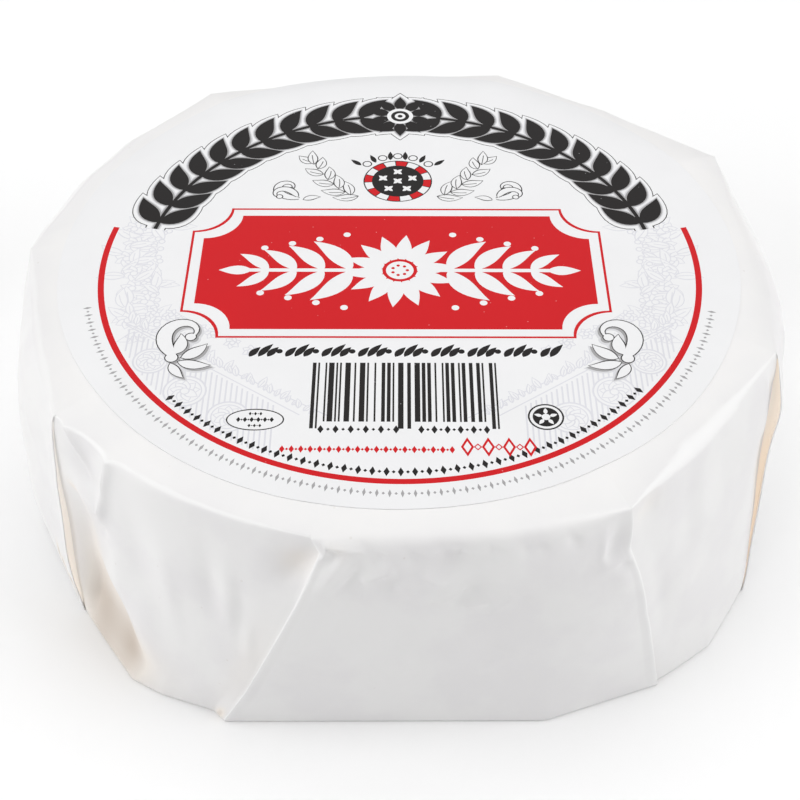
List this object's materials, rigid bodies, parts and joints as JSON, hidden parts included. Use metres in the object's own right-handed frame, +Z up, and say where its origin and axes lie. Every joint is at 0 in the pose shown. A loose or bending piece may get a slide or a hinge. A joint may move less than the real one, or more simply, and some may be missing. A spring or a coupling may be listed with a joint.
{
  "type": "wrapped camembert cheese",
  "caption": "Whole small soft cheese shut in folded white glazed paper, with a round printed paper label on its top.",
  "frame": {"origin": "middle of the underside of the box round the wrapped cheese, on the surface it stands on", "axes": "+Z up through the label, -Y towards the broad front panel under the label's foot, +X to the label's right"},
  "size_m": [0.0816, 0.0772, 0.027],
  "materials": {
    "glazed_paper": "thin white waxed wrapping paper, soft satin glaze, slightly see-through over the cheese",
    "label_paper": "smooth coated label paper, cool white, printed in red, black and pale grey"
  },
  "bodies": {
    "root": {"wrapper": "glazed_paper", "label": "label_paper"}
  },
  "joints": []
}
